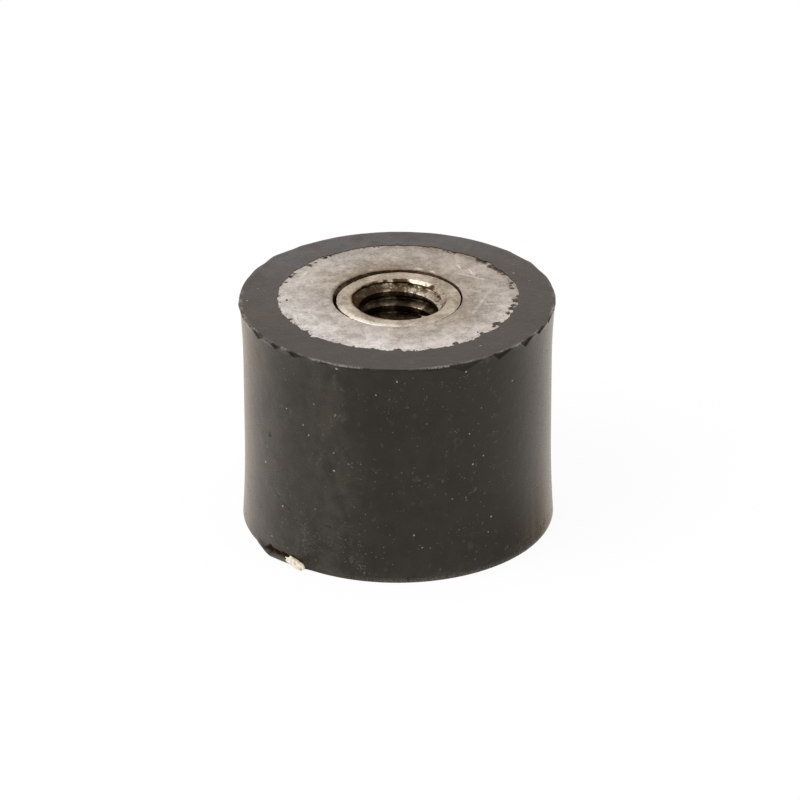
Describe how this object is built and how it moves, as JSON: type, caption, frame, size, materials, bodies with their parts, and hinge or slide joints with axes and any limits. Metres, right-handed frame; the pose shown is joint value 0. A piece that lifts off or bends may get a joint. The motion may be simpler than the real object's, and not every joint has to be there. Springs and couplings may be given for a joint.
{
  "type": "anti-vibration mount",
  "caption": "Cylindrical rubber-to-metal vibration isolator with a waisted rubber body, steel end plates and a female thread at each end.",
  "frame": {"origin": "centre of the lower end face, on the axis", "axes": "+Z along the axis, from the lower end face to the upper one; X and Y are any two square directions"},
  "size_m": [0.02, 0.02, 0.015],
  "materials": {
    "rubber": "matt moulded black rubber, dusty, with torn flash at its rims",
    "plate_steel": "dull zinc-plated steel, stained and finely scratched",
    "bush_steel": "turned, zinc-plated steel with an oily, brassy thread"
  },
  "bodies": {
    "root": {"rubber_body": "rubber", "lower_plate": "plate_steel", "upper_plate": "plate_steel", "lower_bush": "bush_steel", "upper_bush": "bush_steel"}
  },
  "joints": []
}
